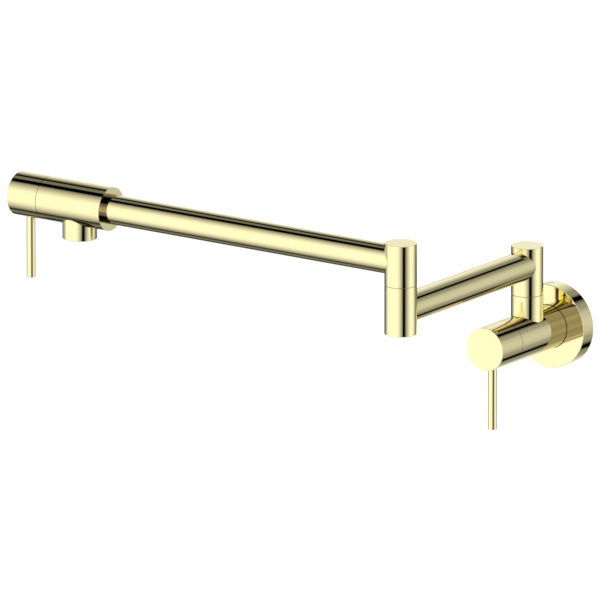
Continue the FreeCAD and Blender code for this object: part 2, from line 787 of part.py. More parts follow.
def build_shoulder():
    """Riser brazed on the wall valve, with the spindle that the inner arm turns on."""
    stub_low = post_radius / 2  # inside the valve body, where the saddle cut clears it
    riser = turned("shoulder_riser", SHOULDER, [
        (0, stub_low), (post_radius, stub_low), (post_radius, shoulder_seam),
        *swivel_outline(shoulder_seam, size.inner_arm_height, shoulder_top),
    ])
    spigot_low = fit_to_valve(riser, (tap_radius + shoulder_seam) / 2)
    bore_for_water(riser, spigot_low, size.inner_arm_height)
    build_swivel("shoulder", SHOULDER, shoulder_seam, size.inner_arm_height, shoulder_top,
                 "-Y", "shoulder_housing")


def build_elbow():
    """Lower post on the inner arm with a screwed-in spindle; the upper post turns on it."""
    thread = size.swivel_thread_dia / 2
    foot = elbow_seam - size.swivel_thread_length
    lower_bore = size.lower_bore_dia / 2
    cap_high = elbow_bottom + size.cap_thick
    lower = turned("elbow_lower_housing", ELBOW, [
        (cap_radius, elbow_bottom), (post_radius, elbow_bottom), (post_radius, elbow_seam),
        (thread + size.seat_gap, elbow_seam), (thread + size.seat_gap, foot),
        (lower_bore, foot), (lower_bore, cap_high), (cap_radius, cap_high),
    ])
    cut_side(lower, "port", "+Y",
             lambda sketch: draw_circle(sketch, 0, size.inner_arm_height, size.arm_port_dia),
             ZERO, size.post_dia)
    round_edges(lower, size.edge_round, [(post_radius, elbow_bottom)])
    build_cap("elbow_bottom_cap", ELBOW, elbow_bottom)

    spindle = turned("elbow_spindle", ELBOW, [
        (0, foot), (thread, foot), (thread, elbow_seam),
        *swivel_outline(elbow_seam, outer_arm_height, elbow_top),
    ])
    bore_for_water(spindle, foot, outer_arm_height)
    build_swivel("elbow", ELBOW, elbow_seam, outer_arm_height, elbow_top,
                 "-X", "elbow_upper_housing")


def build_arms():
    """Two tubes, saddled to the posts; the outer one ends in the spout valve's socket."""
    bore = size.arm_dia - 2 * size.arm_wall
    inner = ring("inner_arm_tube", INNER_ARM, bore, size.arm_dia, 0, size.inner_reach)
    for place, height in (("shoulder", ZERO), ("elbow", size.inner_reach)):
        cut_through(inner, f"{place}_saddle", "XZ",
                    lambda sketch: draw_circle(sketch, 0, height, size.post_dia),
                    2 * size.arm_dia)
    tube_end = size.outer_reach - size.spout_body_back + size.socket_depth - size.end_gap
    outer = ring("outer_arm_tube", OUTER_ARM, bore, size.arm_dia, 0, tube_end)
    cut_through(outer, "elbow_saddle", "XZ",
                lambda sketch: draw_circle(sketch, 0, 0, size.post_dia), 2 * size.arm_dia)


# --------------------------------------------------------------------------- nozzle, aerator
GRID_RINGS = 2  # rings of holes round the middle hole of the aerator's face
SCREEN_HOLES = 12
mouth_radius = size.nozzle_mouth_dia / 2


def build_nozzle():
    """Outlet under the spout valve, with the aerator in its mouth."""
    outer = size.nozzle_dia / 2
    end = size.nozzle_drop
    floor = end - size.nozzle_mouth_depth
    stub_low = outer / 2  # inside the valve body, where the saddle cut clears it
    nozzle = turned("nozzle", NOZZLE, [
        (0, stub_low), (outer, stub_low), (outer, end), (mouth_radius, end),
        (mouth_radius, floor), (0, floor),
    ])
    spigot_low = fit_to_valve(nozzle, (tap_radius + floor) / 2)
    cut_side(nozzle, "bore", "+Z",
             lambda sketch: draw_circle(sketch, 0, 0, size.nozzle_bore_dia),
             spigot_low, floor - spigot_low)
    round_edges(nozzle, size.edge_round, [(outer, end)])
    build_aerator(floor, end - size.aerator_inset)


def build_aerator(floor, aerator_end):
    """Seal, perforated screen and moulded body, screwed up into the nozzle's mouth."""
    shell = mouth_radius - size.seat_gap
    inside = shell - size.aerator_wall
    seal_end = floor + size.aerator_seal_thick
    grid = aerator_end - size.aerator_grid_thick
    ring("aerator_seal", NOZZLE, 2 * inside, 2 * shell, floor, seal_end)
    aerator = turned("aerator_body", NOZZLE, [
        (0, grid), (inside, grid), (inside, seal_end), (shell, seal_end),
        (shell, aerator_end), (0, aerator_end),
    ])
    cut_side(aerator, "grid", "+Z", draw_grid, grid, size.aerator_grid_thick)

    screen_low = grid - size.screen_thick
    radius = inside - size.seat_gap
    screen = turned("aerator_screen", NOZZLE, [
        (0, screen_low), (radius, screen_low), (radius, grid), (0, grid),
    ])

    def first_hole(sketch):
        draw_circle(sketch, size.screen_hole_circle / 2, 0, size.screen_hole_dia)

    hole = cut_side(screen, "hole", "+Z", first_hole, screen_low, size.screen_thick)
    pattern = screen.newObject("PartDesign::PolarPattern", "aerator_screen_holes")
    pattern.Originals = [hole]
    pattern.Axis = (hole.Profile[0], ["N_Axis"])
    pattern.Angle = 360
    pattern.Occurrences = SCREEN_HOLES
    screen.Tip = pattern


def draw_grid(sketch):
    """Round holes on a triangular pitch, in rings about the middle one."""
    pitch = size.aerator_hole_pitch
    for row in range(-GRID_RINGS, GRID_RINGS + 1):
        for column in range(-GRID_RINGS, GRID_RINGS + 1):
            if abs(row + column) > GRID_RINGS:
                continue
            across, up = column + row / 2, row * math.sqrt(3) / 2
            x = pitch * across if across else ZERO
            y = pitch * up if up else ZERO
            draw_circle(sketch, x, y, size.aerator_hole_dia)


# ---------------------------------------------------------------------------------- assembly
def build_valve(prefix, frame, back, socket_radius, port_side, down):
    """A whole lever valve; down is the rotation whose Z points down along the lever."""
    build_valve_body(f"{prefix}_valve_body", frame, back, socket_radius, port_side)
    build_cartridge(prefix, frame)
    build_spindle(prefix, frame)
    build_handle(prefix, frame, down)


build_inlet()
build_flange()
build_valve("wall", WALL_VALVE, size.port_from_wall - wall_body_back,
            size.inlet_thread_dia / 2 + size.seat_gap, "+Y", DOWN_AT_WALL)
build_shoulder()
build_elbow()
build_arms()
build_valve("spout", SPOUT_VALVE, size.spout_body_back,
            size.arm_dia / 2 + size.seat_gap, "-Y", DOWN_AT_SPOUT)
build_nozzle()
doc.recompute()

for item in doc.Objects:
    if {"Invalid", "Error"} & set(item.State):
        raise ValueError(f"{item.Label} is {item.State}")
for piece in pieces:
    if piece.Shape.isNull() or not piece.Shape.isValid() or len(piece.Shape.Solids) != 1:
        raise ValueError(f"{piece.Label} is not one valid solid")

os.makedirs("parts", exist_ok=True)
for piece in pieces:
    piece.Shape.exportStep(f"parts/{piece.Label}.step")
print(f"{len(pieces)} pieces written")
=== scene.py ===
# %% [markdown]
# # A wall mounted pot filler in polished gold
#
# A pot filler is a cold water tap over the hob. One valve sits on the wall, two arms fold on
# upright swivels, and a second valve at the far end opens the water over the pot. The packed
# model already holds every solid piece of it at its real size, so this lesson is about light
# and finish: it loads the pieces, sets the camera, builds a studio for a mirror polish to
# reflect, gives each material its own surface, and adds the thread that the solids leave plain.

# %% Load the frame
import math

import bmesh
import bpy
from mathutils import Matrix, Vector


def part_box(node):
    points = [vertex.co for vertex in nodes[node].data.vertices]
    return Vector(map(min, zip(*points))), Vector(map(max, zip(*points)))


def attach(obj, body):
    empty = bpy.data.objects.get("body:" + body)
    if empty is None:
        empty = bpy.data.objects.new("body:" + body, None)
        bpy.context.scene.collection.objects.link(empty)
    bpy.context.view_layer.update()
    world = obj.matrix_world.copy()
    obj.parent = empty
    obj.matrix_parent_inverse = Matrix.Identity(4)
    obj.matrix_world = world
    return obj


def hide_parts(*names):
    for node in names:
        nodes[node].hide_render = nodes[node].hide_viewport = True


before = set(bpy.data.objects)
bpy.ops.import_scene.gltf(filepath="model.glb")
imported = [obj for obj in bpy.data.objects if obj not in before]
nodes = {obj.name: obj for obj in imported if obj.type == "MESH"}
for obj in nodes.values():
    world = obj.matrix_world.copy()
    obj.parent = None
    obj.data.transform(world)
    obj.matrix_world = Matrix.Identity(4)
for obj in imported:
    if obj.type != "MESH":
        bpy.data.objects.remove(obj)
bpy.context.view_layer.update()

# %% [markdown]
# ## The camera
#
# The picture is a product view with no vanishing point: both posts are equally wide and the
# arms' edges stay parallel. A very long lens a long way off gives that, and still lets every
# other view step back to take in the unfolded arms, which a camera with a fixed width can't.
# The camera stands 35 degrees to the right of the wall valve's axis and 15 degrees up.

# %% Place the camera
VIEW_AZIMUTH = math.radians(35.28)
VIEW_ELEVATION = math.radians(14.85)
PICTURE_WIDTH = 0.48            # metres across the picture at the aim point
PICTURE_SIDE = 600              # pixels
INLET_AT = (558.6, 322.6)       # pixel of the point where the inlet's axis meets the wall
AIM_DEPTH = 0.02                # metres in front of that point, about where both ends lie
LENS = 1400.0                   # mm
SENSOR = 36.0                   # mm
SEEN_FROM = 1.0                 # metres from the camera
SEEN_TO = 100.0

to_camera = Vector((
    math.sin(VIEW_AZIMUTH) * math.cos(VIEW_ELEVATION),
    -math.cos(VIEW_AZIMUTH) * math.cos(VIEW_ELEVATION),
    math.sin(VIEW_ELEVATION),
))
picture_right = Vector((math.cos(VIEW_AZIMUTH), math.sin(VIEW_AZIMUTH), 0.0))
picture_up = to_camera.cross(picture_right)
metres_per_pixel = PICTURE_WIDTH / PICTURE_SIDE
middle = PICTURE_SIDE / 2
aim = (
    picture_right * (middle - INLET_AT[0]) * metres_per_pixel
    + picture_up * (INLET_AT[1] - middle) * metres_per_pixel
    + to_camera * AIM_DEPTH
)
distance = PICTURE_WIDTH * LENS / SENSOR

camera_data = bpy.data.cameras.new("camera")
camera_data.lens = LENS
camera_data.sensor_width = SENSOR
camera_data.clip_start = SEEN_FROM
camera_data.clip_end = SEEN_TO
camera = bpy.data.objects.new("camera", camera_data)
bpy.context.scene.collection.objects.link(camera)
camera.location = aim + to_camera * distance
camera.rotation_euler = to_camera.to_track_quat("Z", "Y").to_euler()
bpy.context.scene.camera = camera
bpy.context.scene.view_settings.view_transform = "Standard"
print("the camera is", round(distance, 2), "m from the aim point", [round(x, 3) for x in aim])

# %% [markdown]
# ## Shader maths written as Python
#
# A finish is a small graph of nodes. Written out one node at a time it hides the idea behind
# it, so one class wraps an output socket and turns `+`, `-`, `*`, `**` and `abs` into Math
# nodes, and one method adds any other node: its settings first, then the values or links of
# its inputs.

# %% The shader kit
class Wire:
    """An output socket. Arithmetic on it adds the Math nodes that work it out."""

    def __init__(self, shader, socket):
        self.shader = shader
        self.socket = socket

    def math(self, operation, *others):
        """A Math node whose first value is this wire."""
        return self.shader.math(operation, self, *others)

    def __add__(self, other):
        return self.math("ADD", other)

    def __sub__(self, other):
        return self.math("SUBTRACT", other)

    def __rsub__(self, other):
        return self.shader.math("SUBTRACT", other, self)

    def __mul__(self, other):
        return self.math("MULTIPLY", other)

    def __pow__(self, other):
        return self.math("POWER", other)

    def __abs__(self):
        return self.math("ABSOLUTE")

    __radd__ = __add__
    __rmul__ = __mul__


class Shader:
    """Adds nodes to one node tree, which starts empty."""

    def __init__(self, tree):
        self.tree = tree
        tree.nodes.clear()

    def node(self, kind, settings=None, inputs=(), output=0):
        """Any node. Its inputs are listed in order, or named or numbered in a dictionary."""
        node = self.tree.nodes.new(kind)
        for name, value in (settings or {}).items():
            setattr(node, name, value)
        pairs = inputs.items() if isinstance(inputs, dict) else enumerate(inputs)
        for key, value in pairs:
            if isinstance(value, Wire):
                self.tree.links.new(value.socket, node.inputs[key])
            else:
                node.inputs[key].default_value = value
        return Wire(self, node.outputs[output]) if node.outputs else None

    def math(self, operation, *values):
        return self.node("ShaderNodeMath", {"operation": operation}, values)

    def ramp(self, value, start, end, low=0.0, high=1.0):
        """Goes from low to high as value goes from start to end, and stays there."""
        return self.node("ShaderNodeMapRange", None, (value, start, end, low, high))

    def mix_colour(self, factor, first, second):
        return self.node(
            "ShaderNodeMix", {"data_type": "RGBA"}, {0: factor, 6: first, 7: second}, output=2
        )


def grey(level):
    return (level, level, level, 1.0)


print("a wire takes + - * ** and abs")

# %% [markdown]
# ## The studio
#
# A mirror has no look of its own: what is seen on it is the room. The picture's arms and posts
# show one broad bright band, thin black lines and soft grey slopes between them, and nothing
# else. On an upright post every line runs straight down, and on an arm it runs along the arm,
# so the things that make them stand far off. That is a studio with tall soft boxes in front of
# the tap, to its right and behind it, with dark gaps and dim walls between them. Here they are
# painted on the world by bearing, which costs no lamps and never gets in front of a camera.

# %% The direction that a ray looks in
world = bpy.data.worlds.new("studio")
world.use_nodes = True
bpy.context.scene.world = world
studio = Shader(world.node_tree)
direction = studio.node("ShaderNodeTexCoord", output="Generated")
east, north, height = (
    studio.node("ShaderNodeSeparateXYZ", None, (direction,), output=axis) for axis in "XYZ"
)
bearing = north.math("ARCTAN2", east).math("DEGREES")
elevation = height.math("ARCSINE").math("DEGREES")
steepness = abs(elevation)
print(len(world.node_tree.nodes), "nodes give a ray's bearing and steepness")

# %% [markdown]
# Bearings are in degrees from the +X axis, turning towards +Y. A soft box is four of them:
# where its light starts, where it is full, where it starts to fade and where it ends. It
# brightens quickly from its edge and slowly towards its middle, which a power of an even slope
# gives. The box behind is turned away from the tap, so it brightens evenly from its far side.

# %% Light by bearing
EASE = 1.5                  # the power; 1 would be an even slope


def bearing_from(centre):
    """Degrees round from centre, from -180 to 180, so that no box is cut at due west."""
    return (bearing - centre).math("WRAP", 180.0, -180.0)


def eased(value, start, full):
    """From 0 at start to 1 at full, quickly at first."""
    return 1.0 - studio.ramp(value, start, full, 1.0, 0.0) ** EASE


def lit_between(start, full, fading, end):
    """A soft box or wall that faces the tap."""
    centre = (start + end) / 2
    here = bearing_from(centre)
    rise = eased(here, start - centre, full - centre)
    fall = eased(here, end - centre, fading - centre)
    return rise.math("MINIMUM", fall)


def turned_box(start, full, fading, end):
    """A box turned away: it brightens evenly, and drops off fast at first."""
    centre = (start + end) / 2
    here = bearing_from(centre)
    rise = studio.ramp(here, start - centre, full - centre)
    fall = studio.ramp(here, end - centre, fading - centre) ** EASE
    return rise.math("MINIMUM", fall)


def cut_off(start, end):
    """1 up to start and 0 from end, for half a turn each way."""
    return studio.ramp(bearing_from(start), 0.0, end - start, 1.0, 0.0)


print("halfway up its slope a box has", round(1.0 - 0.5 ** EASE, 2), "of its light")

# %% The soft boxes and the dim walls
FRONT_BOX = (169.0, 214.0, 277.0, 324.0)
FRONT_SIDE_CUT = (318.0, 321.0)     # the front box's frame, which makes a crisp black line
RIGHT_BOX = (-26.0, 26.0, 33.0, 68.0)
SIDE_LEAF = (46.0, 56.0, 63.0, 75.0)
SIDE_LEAF_LEVEL = 0.52
BACK_BOX = (83.0, 128.0, 122.0, 143.0)      # it starts to fade before it is full
DIM_RIGHT_WALL = (62.0, 68.0, 100.0, 115.0)
DIM_LEFT_WALL = (148.0, 156.0, 169.0, 178.0)
DIM_LEFT = 0.17

front = lit_between(*FRONT_BOX) * cut_off(*FRONT_SIDE_CUT)
side_leaf = lit_between(*SIDE_LEAF) * SIDE_LEAF_LEVEL
right = lit_between(*RIGHT_BOX).math("MAXIMUM", side_leaf)
back = turned_box(*BACK_BOX)
right_wall = lit_between(*DIM_RIGHT_WALL)
left_wall = lit_between(*DIM_LEFT_WALL) * DIM_LEFT
print("bearings of the soft boxes:", FRONT_BOX, RIGHT_BOX, BACK_BOX)

# %% [markdown]
# The front box's top and bottom show on the outer arm: along its upper and lower edges the
# bright band fades as the reflection climbs past it, and a black line ends it. The right box
# ends at about the same height, and where the two boxes face each other they are dimmer at
# their corners.

# %% Tops, bottoms and corners of the boxes
FRONT_MIDDLE = -0.6         # degrees above the horizon
FRONT_FULL_TO = 18.0        # degrees above or below that, as are the next two
FRONT_FADES_TO = 58.0
FRONT_END_CUT = (51.4, 53.3)
RIGHT_FULL_TO = 23.0        # degrees above or below the horizon, as are the next two
RIGHT_ENDS_AT = 53.6
CORNERS_FROM = (15.0, 23.0)
FRONT_CORNERS = (272.0, 286.0, 300.0, 310.0)    # bearings
FRONT_CORNER_LEVEL = 0.72
RIGHT_CORNER_LEVEL = 0.60

from_middle = abs(elevation - FRONT_MIDDLE)
front_ends = eased(from_middle, FRONT_FADES_TO, FRONT_FULL_TO)
front_ends = front_ends * studio.ramp(from_middle, *FRONT_END_CUT, 1.0, 0.0)
right_ends = eased(steepness, RIGHT_ENDS_AT, RIGHT_FULL_TO)
front_corners = studio.ramp(steepness, *CORNERS_FROM, 1.0, FRONT_CORNER_LEVEL)
right_corners = studio.ramp(steepness, *CORNERS_FROM, 1.0, RIGHT_CORNER_LEVEL)
off_corner = 1.0 - lit_between(*FRONT_CORNERS)
light = front * front_ends * front_corners.math("MAXIMUM", off_corner)
right = right * right_ends * right_corners
print("the front box ends", FRONT_END_CUT, "degrees above and below its middle")

# %% [markdown]
# The wall beside the right box is dimmest at eye level, and a black frame stands in front of
# it above and below. The ceiling and the floor are bright, so the steepest directions are too.

# %% Walls, frame, ceiling and floor
WALL_FROM = (15.0, 30.0)    # degrees above or below the horizon
WALL_LEVELS = (0.09, 0.25)
FRAME_BEARING = 75.0
FRAME_EDGES = (3.5, 9.0)    # degrees to each side
FRAME_FROM = (18.0, 27.0)   # degrees above or below the horizon
ABOVE_FROM = (60.0, 70.0)   # degrees above the horizon
BELOW_FROM = (53.5, 76.0)   # degrees below it
OVERHEAD_LEVEL = 0.8

right_wall = right_wall * studio.ramp(steepness, *WALL_FROM, *WALL_LEVELS)
for box in (right, back, right_wall, left_wall):
    light = light.math("MAXIMUM", box)
off_frame = studio.ramp(abs(bearing_from(FRAME_BEARING)), *FRAME_EDGES)
at_eye_level = studio.ramp(steepness, *FRAME_FROM, 1.0, 0.0)
light = light * off_frame.math("MAXIMUM", at_eye_level)
above = studio.ramp(elevation, *ABOVE_FROM)
below = studio.ramp(elevation * -1.0, *BELOW_FROM)
overhead = above.math("MAXIMUM", below)
light = light * (1.0 - overhead) + overhead * OVERHEAD_LEVEL
print("the black frame stands at a bearing of", FRAME_BEARING)

# %% [markdown]
# A straight tube or post mirrors only one circle of the room, on which the direction along
# its own axis stays the same. The tap's axes are X, Y and Z, so the picture shows three such
# circles of the room. Nobody knows what the rest of it looks like. Left dark it would turn
# whole arms black from the sides and the back, so a fill light goes there, clear of the circles.

# %% Fill light beside the picture's circles
FILL_LEVEL = 0.5
CLEAR_OF_CIRCLE = (0.03, 0.09)      # as a difference in the direction along the axis

circles = ((east, -to_camera.x), (north, -to_camera.y), (height, -to_camera.z))
fill = FILL_LEVEL
for along_axis, seen in circles:
    fill = studio.ramp(abs(along_axis - seen), *CLEAR_OF_CIRCLE) * fill
seen_once = light.math("MAXIMUM", fill)
print("the fill light keeps clear of", len(circles), "circles")

# %% [markdown]
# Light Path tells the rays apart: a glossy ray gets the soft boxes, a camera ray gets white,
# and any other ray gets an even level that a painted colour renders true under. In the
# picture the boxes seen in a second mirror, such as the valve body's reflection in the flange,
# have more contrast than the first reflections have, and are browner where they are dim. So
# such a ray gets a power of the light and a tint.

# %% What each kind of ray sees
BRIGHT = 1.12               # the soft boxes' level, a shade over white
EVEN_LEVEL = 0.85           # what dull surfaces get from all round
FIRST_MIRROR = 1.5          # a Glossy Depth between the first mirror's and the second's
SECOND_LEVEL = 0.94
SECOND_CONTRAST = 1.6
SECOND_TINT = (1.0, 0.87, 1.0, 1.0)

is_camera = studio.node("ShaderNodeLightPath", output="Is Camera Ray")
is_glossy = studio.node("ShaderNodeLightPath", output="Is Glossy Ray")
is_through = studio.node("ShaderNodeLightPath", output="Is Transmission Ray")
depth = studio.node("ShaderNodeLightPath", output="Glossy Depth")
second_mirror = depth.math("GREATER_THAN", FIRST_MIRROR)
seen_twice = light ** SECOND_CONTRAST * SECOND_LEVEL
polished = (seen_once + second_mirror * (seen_twice - seen_once)) * is_glossy * BRIGHT
white = is_camera.math("MAXIMUM", is_through)
others = white.math("MAXIMUM", is_glossy)
strength = polished + white + (1.0 - others) * EVEN_LEVEL
tint = studio.mix_colour(second_mirror * (1.0 - light), grey(1.0), SECOND_TINT)
background = studio.node("ShaderNodeBackground", None, {"Color": tint, "Strength": strength})
studio.node("ShaderNodeOutputWorld", None, {"Surface": background})
print("the studio has", len(world.node_tree.nodes), "nodes")

# %% [markdown]
# ## The floor
#
# The tap hangs on a wall, well over the hob, so the pale floor is a worktop's height below it
# and its soft shadow falls out of the picture. A lamp high up in front and to the left makes
# the shadow. The camera sees the floor a little brighter than it is lit, which turns the lit
# part white and keeps the shaded part. Neither the lamp nor the floor is meant to be seen in
# the polish, where the soft boxes stand for both.

# %% The floor
FLOOR_DROP = 0.45           # metres below the inlet's axis
FLOOR_SIDE = 8.0
FLOOR_COLOURS = ((0.86, 0.86, 0.85, 1.0), (0.88, 0.88, 0.87, 1.0))
FLOOR_CLOUDS = {"Scale": 3.0, "Detail": 4.0}
CLOUDS_SPREAD = (0.3, 0.7)  # soft noise seldom leaves this range
FLOOR_LIFT = 0.30

half = FLOOR_SIDE / 2
around = ((-half, -half), (half, -half), (half, half), (-half, half))
floor_mesh = bpy.data.meshes.new("floor")
floor_mesh.from_pydata([(x, y, -FLOOR_DROP) for x, y in around], [], [(0, 1, 2, 3)])
floor = bpy.data.objects.new("floor", floor_mesh)
bpy.context.scene.collection.objects.link(floor)
floor.visible_glossy = False

floor_paint = bpy.data.materials.new("pale_floor")
floor_paint.use_nodes = True
paint = Shader(floor_paint.node_tree)
place = paint.node("ShaderNodeTexCoord", output="Object")
cloudy = paint.node("ShaderNodeTexNoise", None, {"Vector": place, **FLOOR_CLOUDS})
tint = paint.mix_colour(paint.ramp(cloudy, *CLOUDS_SPREAD), *FLOOR_COLOURS)
matt = paint.node("ShaderNodeBsdfDiffuse", None, {"Color": tint})
lift = paint.node("ShaderNodeLightPath", output="Is Camera Ray") * FLOOR_LIFT
glow = paint.node("ShaderNodeEmission", None, {"Color": grey(1.0), "Strength": lift})
both = paint.node("ShaderNodeAddShader", None, (matt, glow))
paint.node("ShaderNodeOutputMaterial", None, {"Surface": both})
floor_mesh.materials.append(floor_paint)
print("floor", FLOOR_DROP, "m below the inlet's axis")

# %% The lamp
LAMP_SIDE = 1.2             # metres
LAMP_POWER = 22.0           # watts
LAMP_AT = (-0.9, -1.3, 1.7)

lamp_data = bpy.data.lights.new("lamp", "AREA")
lamp_data.shape = "SQUARE"
lamp_data.size = LAMP_SIDE
lamp_data.energy = LAMP_POWER
lamp = bpy.data.objects.new("lamp", lamp_data)
bpy.context.scene.collection.objects.link(lamp)
lamp.location = LAMP_AT
lamp.rotation_euler = Vector(LAMP_AT).to_track_quat("Z", "Y").to_euler()
lamp.visible_glossy = False
print("lamp", round(Vector(LAMP_AT).length, 2), "m from the inlet")

# %% [markdown]
# ## Polished gold
#
# The whole outside is brass, polished to a mirror and coated in a pale gold. The colour of a
# metal is the colour of what it throws back, so it goes into Base Color with Metallic at 1. A
# real polish isn't perfect: the wheel leaves the surface very slightly wavy and hazier in
# places, and hands leave dull patches. Noise at several scales gives that without a picture.

# %% Helpers for finishes
finishes = {}


def new_finish(name):
    material = bpy.data.materials.new(name)
    material.use_nodes = True
    finishes[name] = material
    shader = Shader(material.node_tree)
    return shader, shader.node("ShaderNodeTexCoord", output="Object")


def noise(shader, place, size, detail):
    """Soft noise from about 0.3 to 0.7, whose spots are size metres across."""
    return shader.node(
        "ShaderNodeTexNoise", None, {"Vector": place, "Scale": 1.0 / size, "Detail": detail}
    )


def bump(shader, strength, depth, relief):
    """A relief of depth metres between its lowest and highest value."""
    inputs = {"Strength": strength, "Distance": depth, "Height": relief}
    return shader.node("ShaderNodeBump", None, inputs)


def surface(shader, **inputs):
    """A Principled surface, with an underscore for each space in an input's name."""
    named = {name.replace("_", " "): value for name, value in inputs.items()}
    principled = shader.node("ShaderNodeBsdfPrincipled", None, named)
    shader.node("ShaderNodeOutputMaterial", None, {"Surface": principled})


print(len(finishes), "finishes so far")

# %% The gold finish
GOLD = (0.97, 0.888, 0.512, 1.0)
WARM_GOLD = (0.965, 0.876, 0.496, 1.0)
TONE_NOISE = (0.045, 3.0)   # metres across a spot, and how much detail
HAZE_NOISE = (0.018, 5.0)
WIPE_NOISE = (0.0016, 2.0)
WAVE_NOISE = (0.012, 1.0)
TONE_SPREAD = (0.35, 0.65)  # of the noise's own range
HAZE_SPREAD = (0.4, 0.75)
WIPE_SPREAD = (0.5, 0.8)
WAVE_STRENGTH = 0.04
WAVE_DEPTH = 0.00004        # metres
CLEAN_ROUGHNESS = 0.02
HAZE_ROUGHNESS = 0.015
WIPE_ROUGHNESS = 0.012

gold, place = new_finish("polished_gold")
tone = gold.ramp(noise(gold, place, *TONE_NOISE), *TONE_SPREAD)
haze = gold.ramp(noise(gold, place, *HAZE_NOISE), *HAZE_SPREAD)
wipe_marks = gold.ramp(noise(gold, place, *WIPE_NOISE), *WIPE_SPREAD)
waves = noise(gold, place, *WAVE_NOISE)
surface(
    gold,
    Base_Color=gold.mix_colour(tone, GOLD, WARM_GOLD),
    Metallic=1.0,
    Roughness=CLEAN_ROUGHNESS + haze * HAZE_ROUGHNESS + wipe_marks * WIPE_ROUGHNESS,
    Normal=bump(gold, WAVE_STRENGTH, WAVE_DEPTH, waves),
)
print("polished gold has", len(gold.tree.nodes), "nodes")

# %% [markdown]
# ## The finishes inside
#
# Inside the tap are brass that nobody polished, ceramic discs, rubber rings, a fibre washer,
# nylon bearing washers, steel clips and screws and the plastic aerator. Most of it shows only
# as a hairline at a swivel, from below the nozzle or from behind the wall plate.

# %% Bare brass
BRASS = (0.86, 0.66, 0.33, 1.0)
DULL_BRASS = (0.78, 0.57, 0.27, 1.0)
TARNISH_NOISE = (0.009, 3.0)    # metres across a spot, and how much detail
TARNISH_SPREAD = (0.35, 0.65)
TOOL_NOISE = (0.0004, 2.0)
TOOL_STRENGTH = 0.15
TOOL_DEPTH = 0.00001            # metres
BRASS_ROUGHNESS = 0.24
TARNISH_ROUGHNESS = 0.06
TOOL_ROUGHNESS = 0.06

brass, place = new_finish("bare_brass")
tarnish = brass.ramp(noise(brass, place, *TARNISH_NOISE), *TARNISH_SPREAD)
tool_marks = noise(brass, place, *TOOL_NOISE)
surface(
    brass,
    Base_Color=brass.mix_colour(tarnish, BRASS, DULL_BRASS),
    Metallic=1.0,
    Roughness=BRASS_ROUGHNESS + tarnish * TARNISH_ROUGHNESS + tool_marks * TOOL_ROUGHNESS,
    Normal=bump(brass, TOOL_STRENGTH, TOOL_DEPTH, tool_marks),
)
print("bare brass has", len(brass.tree.nodes), "nodes")

# %% Steel
STEEL = (0.62, 0.61, 0.59, 1.0)
DARK_STEEL = (0.50, 0.50, 0.49, 1.0)
SCRATCH_NOISE = (0.0012, 5.0)   # metres across a spot, and how much detail
SCRATCH_SPREAD = (0.3, 0.7)
STEEL_ROUGHNESS = (0.2, 0.4)

steel, place = new_finish("steel")
scratched = noise(steel, place, *SCRATCH_NOISE)
surface(
    steel,
    Base_Color=steel.mix_colour(scratched, STEEL, DARK_STEEL),
    Metallic=1.0,
    Roughness=steel.ramp(scratched, *SCRATCH_SPREAD, *STEEL_ROUGHNESS),
)
print("steel has", len(steel.tree.nodes), "nodes")

# %% [markdown]
# What isn't metal differs only in its colours, in how coarse its grain is and in how rough it
# is, so one function makes all of it.

# %% Rubber, fibre, nylon, ceramic and plastic
PLAIN_FINISHES = {
    # light and dark colour, metres across a grain, roughness where it is smooth and rough
    "rubber": ((0.030, 0.030, 0.031, 1.0), (0.018, 0.018, 0.019, 1.0), 0.0008, 0.5, 0.65),
    "fibre": ((0.33, 0.12, 0.07, 1.0), (0.24, 0.08, 0.05, 1.0), 0.0010, 0.75, 0.9),
    "nylon": ((0.80, 0.78, 0.70, 1.0), (0.72, 0.70, 0.62, 1.0), 0.0020, 0.35, 0.5),
    "ceramic": ((0.83, 0.83, 0.81, 1.0), (0.78, 0.78, 0.77, 1.0), 0.0015, 0.15, 0.25),
    "aerator_plastic": ((0.62, 0.62, 0.60, 1.0), (0.55, 0.55, 0.54, 1.0), 0.0015, 0.3, 0.45),
}
GRAIN_DETAIL = 4.0
GRAIN_SPREAD = (0.3, 0.7)
GRAIN_STRENGTH = 0.3
GRAIN_WIDTH_TO_DEPTH = 20


def plain_finish(name, light_colour, dark_colour, width, smooth, rough):
    shader, place = new_finish(name)
    grain = noise(shader, place, width, GRAIN_DETAIL)
    shade = shader.ramp(grain, *GRAIN_SPREAD)
    surface(
        shader,
        Base_Color=shader.mix_colour(shade, light_colour, dark_colour),
        Roughness=shader.ramp(grain, *GRAIN_SPREAD, smooth, rough),
        Normal=bump(shader, GRAIN_STRENGTH, width / GRAIN_WIDTH_TO_DEPTH, grain),
    )


for name, look in PLAIN_FINISHES.items():
    plain_finish(name, *look)
print("finishes:", sorted(finishes))

# %% [markdown]
# ## Dressing the pieces
#
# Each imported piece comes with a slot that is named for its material, so the finish goes into
# the slot and the mesh stays as it is.

# %% Dress every piece
for piece in nodes.values():
    for slot in piece.material_slots:
        slot.material = finishes[slot.material.name.split(".")[0]]
print("dressed", len(nodes), "pieces")

# %% [markdown]
# ## The inlet's thread
#
# The nipple that screws into the wall has a G 1/2 thread, 14 turns to the inch and 1.16 mm
# deep. It shows from behind the wall plate, with flat crests and roots here in place of the
# real round ones. The whole nipple is one closed grid, wrapped round the axis like a tyre: its
# columns go round and its rows run along the outside and back through the bore. On the thread
# each row slides along by one pitch in a turn, so the crests are real helices. A hexagon is a
# row whose radius depends on the angle, and the cone that the lathe leaves on its corners is a
# row set back by that radius.

# %% Measure the nipple
PITCH = 0.001814            # metres, as all sizes of the nipple are
HEXAGON_BACK = -0.001

